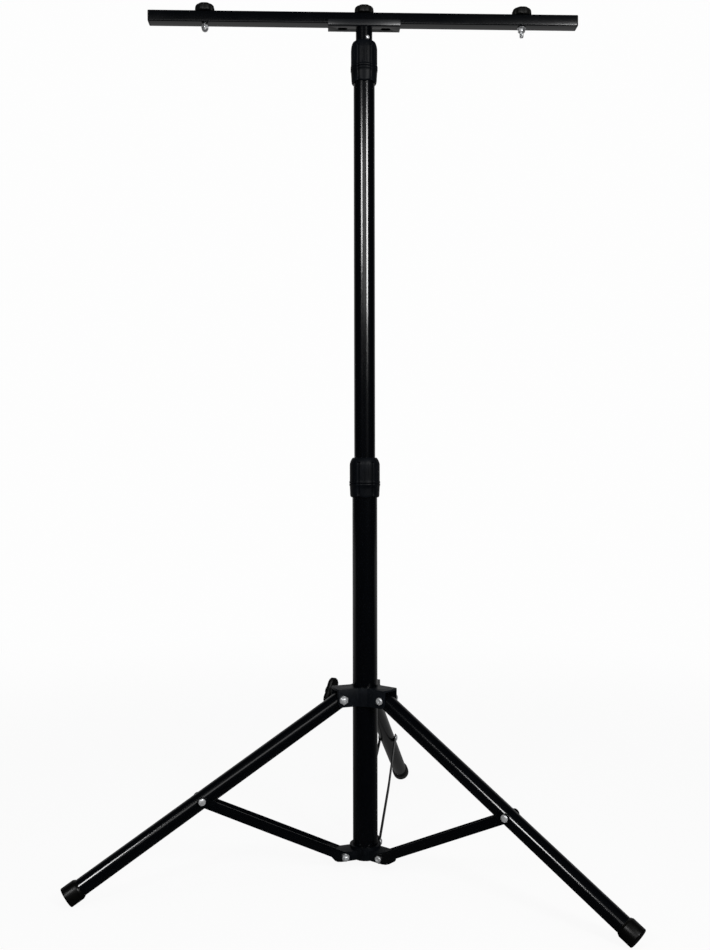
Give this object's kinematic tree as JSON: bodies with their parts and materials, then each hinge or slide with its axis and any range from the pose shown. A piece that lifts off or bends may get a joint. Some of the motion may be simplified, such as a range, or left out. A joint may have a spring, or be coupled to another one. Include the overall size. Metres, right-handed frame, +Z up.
{
  "type": "light stand",
  "caption": "Folding tripod stand for stage lights: telescoping pole with twist locks, sliding leg collar with wing knob, and a T-bar with clamping knobs.",
  "frame": {"origin": "centre of the flat underside of the pole's base plug, on the pole's axis", "axes": "+Z up along the pole, +X along the T-bar to the right as seen from the front, +Y to the back"},
  "size_m": [0.7754, 0.7513, 1.3077],
  "materials": {
    "gloss_black_steel": "glossy powder-coated tubes, saddle, bar and strips",
    "black_plastic": "smooth satin black",
    "black_moulding": "moulded satin black",
    "foot_rubber": "matt black",
    "bright_zinc": "bright zinc plate"
  },
  "bodies": {
    "base": {"lower_tube": "gloss_black_steel", "base_plug": "black_plastic", "lower_lock_base": "black_moulding", "lower_lock_collet": "black_plastic", "hub": "black_moulding", "hub_bolt_rear": "bright_zinc", "hub_bolt_right": "bright_zinc", "hub_bolt_left": "bright_zinc"},
    "lower_lock": {"lower_lock_nut": "black_moulding"},
    "middle": {"mid_tube": "gloss_black_steel", "mid_guide_bush": "black_plastic", "upper_lock_base": "black_moulding", "upper_lock_collet": "black_plastic"},
    "upper_lock": {"upper_lock_nut": "black_moulding"},
    "top_slider": {"top_guide_bush": "black_plastic"},
    "head": {"top_tube": "gloss_black_steel", "tube_insert": "bright_zinc", "insert_rivet": "bright_zinc", "bar_saddle": "gloss_black_steel", "t_bar": "gloss_black_steel", "bar_end_plug_right": "black_plastic", "bar_end_plug_left": "black_plastic"},
    "knob_left": {"bar_knob_left": "black_plastic", "knob_stud_left": "bright_zinc", "cap_nut_left": "bright_zinc"},
    "knob_centre": {"bar_knob_centre": "black_plastic", "knob_stud_centre": "bright_zinc"},
    "knob_right": {"bar_knob_right": "black_plastic", "knob_stud_right": "bright_zinc", "flange_nut_right": "bright_zinc"},
    "collar": {"leg_collar": "black_moulding", "clamp_pad": "black_plastic", "leg_bolt_rear": "bright_zinc", "leg_bolt_right": "bright_zinc", "leg_bolt_left": "bright_zinc"},
    "wing": {"wing_knob": "black_plastic", "clamp_screw": "bright_zinc"},
    "leg_rear": {"leg_tube_rear": "gloss_black_steel", "foot_cap_rear": "foot_rubber", "rivet_shank_rear": "bright_zinc"},
    "leg_right": {"leg_tube_right": "gloss_black_steel", "foot_cap_right": "foot_rubber", "rivet_shank_right": "bright_zinc"},
    "leg_left": {"leg_tube_left": "gloss_black_steel", "foot_cap_left": "foot_rubber", "rivet_shank_left": "bright_zinc"},
    "strut_rear": {"strut_strip_rear_a": "gloss_black_steel", "strut_strip_rear_b": "gloss_black_steel", "rivet_head_rear_a": "bright_zinc", "rivet_head_rear_b": "bright_zinc"},
    "strut_right": {"strut_strip_right_a": "gloss_black_steel", "strut_strip_right_b": "gloss_black_steel", "rivet_head_right_a": "bright_zinc", "rivet_head_right_b": "bright_zinc"},
    "strut_left": {"strut_strip_left_a": "gloss_black_steel", "strut_strip_left_b": "gloss_black_steel", "rivet_head_left_a": "bright_zinc", "rivet_head_left_b": "bright_zinc"}
  },
  "joints": [
    {"name": "lower_lock_twist", "type": "hinge", "parent": "base", "child": "lower_lock", "pos_m": [0, 0, 0.575], "axis": [0, 0, 1], "range_deg": [0, 120]},
    {"name": "mid_slide", "type": "slide", "parent": "base", "child": "middle", "axis": [0, 0, 1], "range_m": [-0.51, 0]},
    {"name": "upper_lock_twist", "type": "hinge", "parent": "middle", "child": "upper_lock", "pos_m": [0, 0, 1.2025], "axis": [0, 0, 1], "range_deg": [0, 120]},
    {"name": "top_slide", "type": "slide", "parent": "middle", "child": "top_slider", "axis": [0, 0, 1], "range_m": [0, 0.5]},
    {"name": "bar_swivel", "type": "hinge", "parent": "top_slider", "child": "head", "pos_m": [0, 0, 1.26], "axis": [0, 0, 1], "continuous": true},
    {"name": "knob_left_turn", "type": "hinge", "parent": "head", "child": "knob_left", "pos_m": [-0.24, 0, 1.2852], "axis": [0, 0, 1], "continuous": true},
    {"name": "knob_centre_turn", "type": "hinge", "parent": "head", "child": "knob_centre", "pos_m": [0, 0, 1.2852], "axis": [0, 0, 1], "continuous": true},
    {"name": "knob_right_turn", "type": "hinge", "parent": "head", "child": "knob_right", "pos_m": [0.24, 0, 1.2852], "axis": [0, 0, 1], "continuous": true},
    {"name": "collar_slide", "type": "slide", "parent": "base", "child": "collar", "axis": [0, 0, 1], "range_m": [0, 0.2571]},
    {"name": "clamp_turn", "type": "hinge", "parent": "collar", "child": "wing", "pos_m": [0, 0, 0.2466], "axis": [-0.749, 0.6626, 0], "continuous": true},
    {"name": "leg_rear_fold", "type": "hinge", "parent": "collar", "child": "leg_rear", "pos_m": [0.00821, 0.04037, 0.2491], "axis": [-0.9799, 0.1994, 0], "range_deg": [0, 58.8]},
    {"name": "leg_right_fold", "type": "hinge", "parent": "collar", "child": "leg_right", "pos_m": [0.03086, -0.0273, 0.2491], "axis": [0.6626, 0.749, 0], "range_deg": [0, 58.8]},
    {"name": "leg_left_fold", "type": "hinge", "parent": "collar", "child": "leg_left", "pos_m": [-0.03907, -0.01307, 0.2491], "axis": [0.3173, -0.9483, 0], "range_deg": [0, 58.8]},
    {"name": "strut_rear_fold", "type": "hinge", "parent": "base", "child": "strut_rear", "pos_m": [0.00778, 0.03822, 0.0104], "axis": [0.9799, -0.1994, 0], "range_deg": [0, 63.17]},
    {"name": "strut_right_fold", "type": "hinge", "parent": "base", "child": "strut_right", "pos_m": [0.02921, -0.02584, 0.0104], "axis": [-0.6626, -0.749, 0], "range_deg": [0, 63.17]},
    {"name": "strut_left_fold", "type": "hinge", "parent": "base", "child": "strut_left", "pos_m": [-0.03698, -0.01237, 0.0104], "axis": [-0.3173, 0.9483, 0], "range_deg": [0, 63.17]}
  ],
  "couplings": [
    {"joint": "leg_rear_fold", "follows": "collar_slide", "rad_per_m": 3.99},
    {"joint": "leg_right_fold", "follows": "collar_slide", "rad_per_m": 3.99},
    {"joint": "leg_left_fold", "follows": "collar_slide", "rad_per_m": 3.99},
    {"joint": "strut_rear_fold", "follows": "collar_slide", "rad_per_m": 4.2866},
    {"joint": "strut_right_fold", "follows": "collar_slide", "rad_per_m": 4.2866},
    {"joint": "strut_left_fold", "follows": "collar_slide", "rad_per_m": 4.2866}
  ]
}
